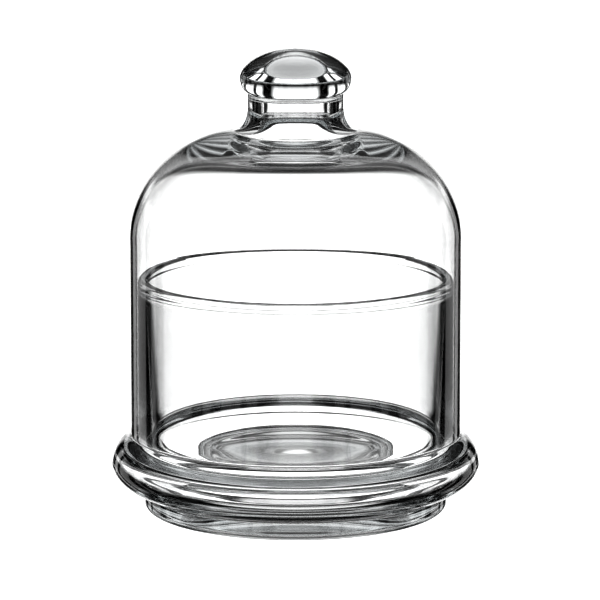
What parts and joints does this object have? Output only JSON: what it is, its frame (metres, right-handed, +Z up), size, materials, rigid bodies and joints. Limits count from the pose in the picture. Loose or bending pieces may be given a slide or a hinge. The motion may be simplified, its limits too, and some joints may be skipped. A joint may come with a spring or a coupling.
{
  "type": "glass cloche",
  "caption": "Clear glass bell with a stubby finger knob, lifting off a footed saucer that carries a straight-sided cup for the food it covers.",
  "frame": {"origin": "on the axis of the foot, at the level of the surface that the foot ring stands on", "axes": "+Z up along the common axis of saucer, cup, bell and knob; the object is the same all round, so +X and +Y are free"},
  "size_m": [0.1106, 0.1106, 0.1391],
  "materials": {
    "base_glass": "clear blown glass, fire-polished",
    "bell_glass": "clear blown glass, fire-polished"
  },
  "bodies": {
    "base": {"saucer": "base_glass", "cup": "base_glass"},
    "lid": {"bell": "bell_glass", "knob": "bell_glass"}
  },
  "joints": [
    {"name": "lid_lift", "type": "slide", "parent": "base", "child": "lid", "axis": [0, 0, 1], "range_m": [0, 0.06]}
  ]
}
